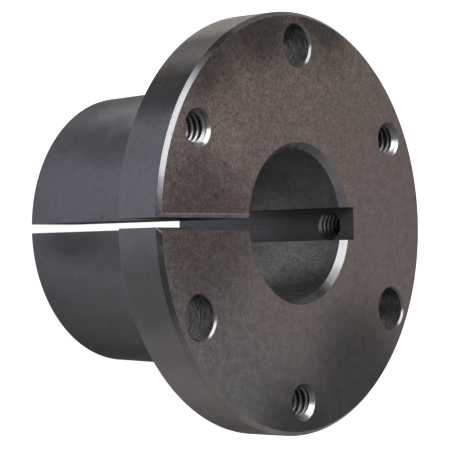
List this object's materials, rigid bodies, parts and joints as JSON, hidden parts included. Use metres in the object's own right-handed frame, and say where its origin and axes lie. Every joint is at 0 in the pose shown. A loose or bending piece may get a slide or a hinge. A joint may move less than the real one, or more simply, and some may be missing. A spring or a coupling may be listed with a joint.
{
  "type": "quick disconnect bushing",
  "caption": "Flanged steel bushing with a tapered, split barrel, a keyed bore, plain and tapped holes round the flange, and a set screw hole over the key.",
  "frame": {"origin": "on the bore axis, on the flat small end of the barrel, which the bushing stands on", "axes": "+Z along the bore axis from the small end of the barrel to the flange face, +X from the bore axis towards the keyway, -X towards the split"},
  "size_m": [0.081, 0.081, 0.046],
  "materials": {
    "blackened_steel": "black oxide over turned steel, satin, with bright bevels and thread crests"
  },
  "bodies": {
    "root": {"bushing": "blackened_steel"}
  },
  "joints": []
}
